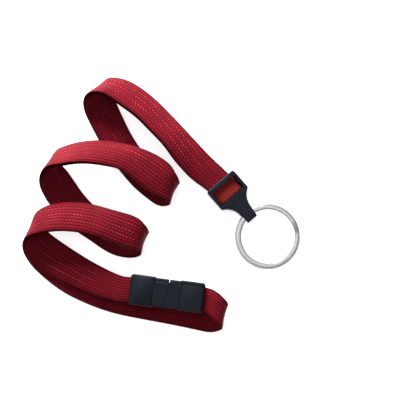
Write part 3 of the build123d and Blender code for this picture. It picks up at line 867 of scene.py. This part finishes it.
def split_coil(name):
    """The coil at angle t has its wire's middle at radius R and height rise * (ramp(t) - 1 / 2).

    The ramp goes from 0 to 1 as 3 * s ** 2 - 2 * s ** 3 over the crossover, halfway along the coil. The
    wire's section is |cos| ** p across and |sin| ** q up, which makes it a rounded rectangle."""
    turn = np.linspace(RING_START, 4 * math.pi - RING_START, COIL_STEPS)
    share = np.clip((turn - 2 * math.pi) / CROSSOVER + 0.5, 0, 1)
    height = TURN_RISE * (share * share * (3 - 2 * share) - 0.5)
    angle = np.arange(WIRE_POINTS) / WIRE_POINTS * 2 * math.pi
    c, s = np.cos(angle), np.sin(angle)
    across = np.sign(c) * np.abs(c) ** ACROSS_POWER * WIRE_WIDTH / 2
    up = np.sign(s) * np.abs(s) ** UP_POWER * WIRE_HEIGHT / 2
    radius = RING_RADIUS + across + (0.5 - share[:, None]) * TURN_SHIFT
    x = np.cos(turn)[:, None] * radius
    y = np.sin(turn)[:, None] * radius
    points = np.stack([x, y, height[:, None] + up + 0 * x], axis=-1).reshape(-1, 3)
    points = points @ turn_about(2, RING_TURNED) + (RING_RADIUS, 0, 0)
    points = points @ turn_about(1, RING_DROOP) + EYE_PLACE
    points = points @ turn_about(2, FITTING_ANGLE) + FITTING_ENTRY
    made = mesh_object(name, points, grid_faces(COIL_STEPS, WIRE_POINTS)[:, ::-1])
    close_ends(made, WIRE_POINTS)
    return made


coil = split_coil("split_coil")
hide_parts("split_ring")
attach(coil, "key_ring")
print("ring droops", round(math.degrees(RING_DROOP), 1), "degrees,", len(coil.data.polygons), "faces")

# %% [markdown]
# Bright nickel is plated over the wound wire. It is almost a mirror, and keys have left small scuffs
# on it, under a millimetre wide. They show as soft changes of roughness and colour, so they need no
# relief. Metal has its colour in its reflection, so the main shader is fully metallic.

# %% Nickel plate
SCUFF_SCALE = 1 / (0.8 * MM)


def nickel_plate():
    """Bright nickel over rolled wire: almost a mirror, clouded by small scuffs."""
    material, shader = new_material("nickel_plate")
    link = material.node_tree.links.new
    place = add_node(material, "ShaderNodeTexCoord")
    scuff = add_node(material, "ShaderNodeTexNoise", inputs={"Scale": SCUFF_SCALE, "Detail": 6},
                     links={"Vector": place.outputs["Object"]})
    colour = ramp(material, scuff.outputs["Fac"], [(0.3, "#C6C4C1"), (0.7, "#DEDCDA")])
    link(colour.outputs["Color"], shader.inputs["Base Color"])
    worn = add_node(material, "ShaderNodeMapRange",
                    inputs={"From Min": 0.35, "From Max": 0.7, "To Min": 0.10, "To Max": 0.24},
                    links={"Value": scuff.outputs["Fac"]})
    link(worn.outputs["Result"], shader.inputs["Roughness"])
    shader.inputs["Metallic"].default_value = 1.0
    return material


coil.data.materials.append(nickel_plate())
print("ring finish", coil.data.materials[0].name)

# %% [markdown]
# The table is a sheet of white acrylic with a faint light behind it, as is used for small goods, so
# that shadows on it stay pale. White card would do, but it needs far more light from above to look
# white.

# %% Table
TABLE_HALF = 3.0

table_mesh = bpy.data.meshes.new("table_top")
corners = [(x * TABLE_HALF, y * TABLE_HALF, 0) for x, y in ((-1, -1), (1, -1), (1, 1), (-1, 1))]
table_mesh.from_pydata(corners, [], [(0, 1, 2, 3)])
table = bpy.data.objects.new("table_top", table_mesh)
collection.objects.link(table)
table_material, table_shader = new_material("white_acrylic")
table_shader.inputs["Base Color"].default_value = linear("#F2F2F2")
table_shader.inputs["Roughness"].default_value = 0.7
table_shader.inputs["Emission Color"].default_value = linear("#FFFFFF")
table_shader.inputs["Emission Strength"].default_value = 0.70
table_mesh.materials.append(table_material)
print("table", 2 * TABLE_HALF, "m wide")

# %% [markdown]
# One strong soft box stands low at the back, a little to the left: it rakes over the braid and
# brightens the folds that face it. The room fills the rest. The ceiling is brightest just to the left
# and behind the middle and falls to grey towards the walls, which gives the ring's wire its dark
# lines.

# %% Lights and room
SOFT_BOX_PLACE = (-0.12, 0.42, 0.155)
SOFT_BOX_SIZE = 0.20
SOFT_BOX_WATTS = 7.2
BRIGHT_PART = Vector((-0.22, 0.18, 1.0)).normalized()
ROOM_TONES = [(0.0, "#73777D"), (0.70, "#8E9298"), (0.86, "#B8BCC2"), (0.95, "#FFFFFF")]
ROOM_STRENGTH = 1.15

lamp = bpy.data.lights.new("back_soft_box", "AREA")
lamp.size = SOFT_BOX_SIZE
lamp.energy = SOFT_BOX_WATTS
soft_box = bpy.data.objects.new("back_soft_box", lamp)
soft_box.location = SOFT_BOX_PLACE
soft_box.rotation_mode = "QUATERNION"
soft_box.rotation_quaternion = (-Vector(SOFT_BOX_PLACE)).to_track_quat("-Z", "Y")
collection.objects.link(soft_box)

world = bpy.data.worlds.new("studio")
world.use_nodes = True
bpy.context.scene.world = world
room = world.node_tree.nodes["Background"]
direction = add_node(world, "ShaderNodeTexCoord")
toward = add_node(world, "ShaderNodeVectorMath", {"operation": "DOT_PRODUCT"}, {1: BRIGHT_PART},
                  {0: direction.outputs["Generated"]})
tones = ramp(world, toward.outputs["Value"], ROOM_TONES)
world.node_tree.links.new(tones.outputs["Color"], room.inputs["Color"])
room.inputs["Strength"].default_value = ROOM_STRENGTH
bpy.context.scene.view_settings.view_transform = "Standard"
print("soft box of", SOFT_BOX_WATTS, "W, room at", ROOM_STRENGTH)
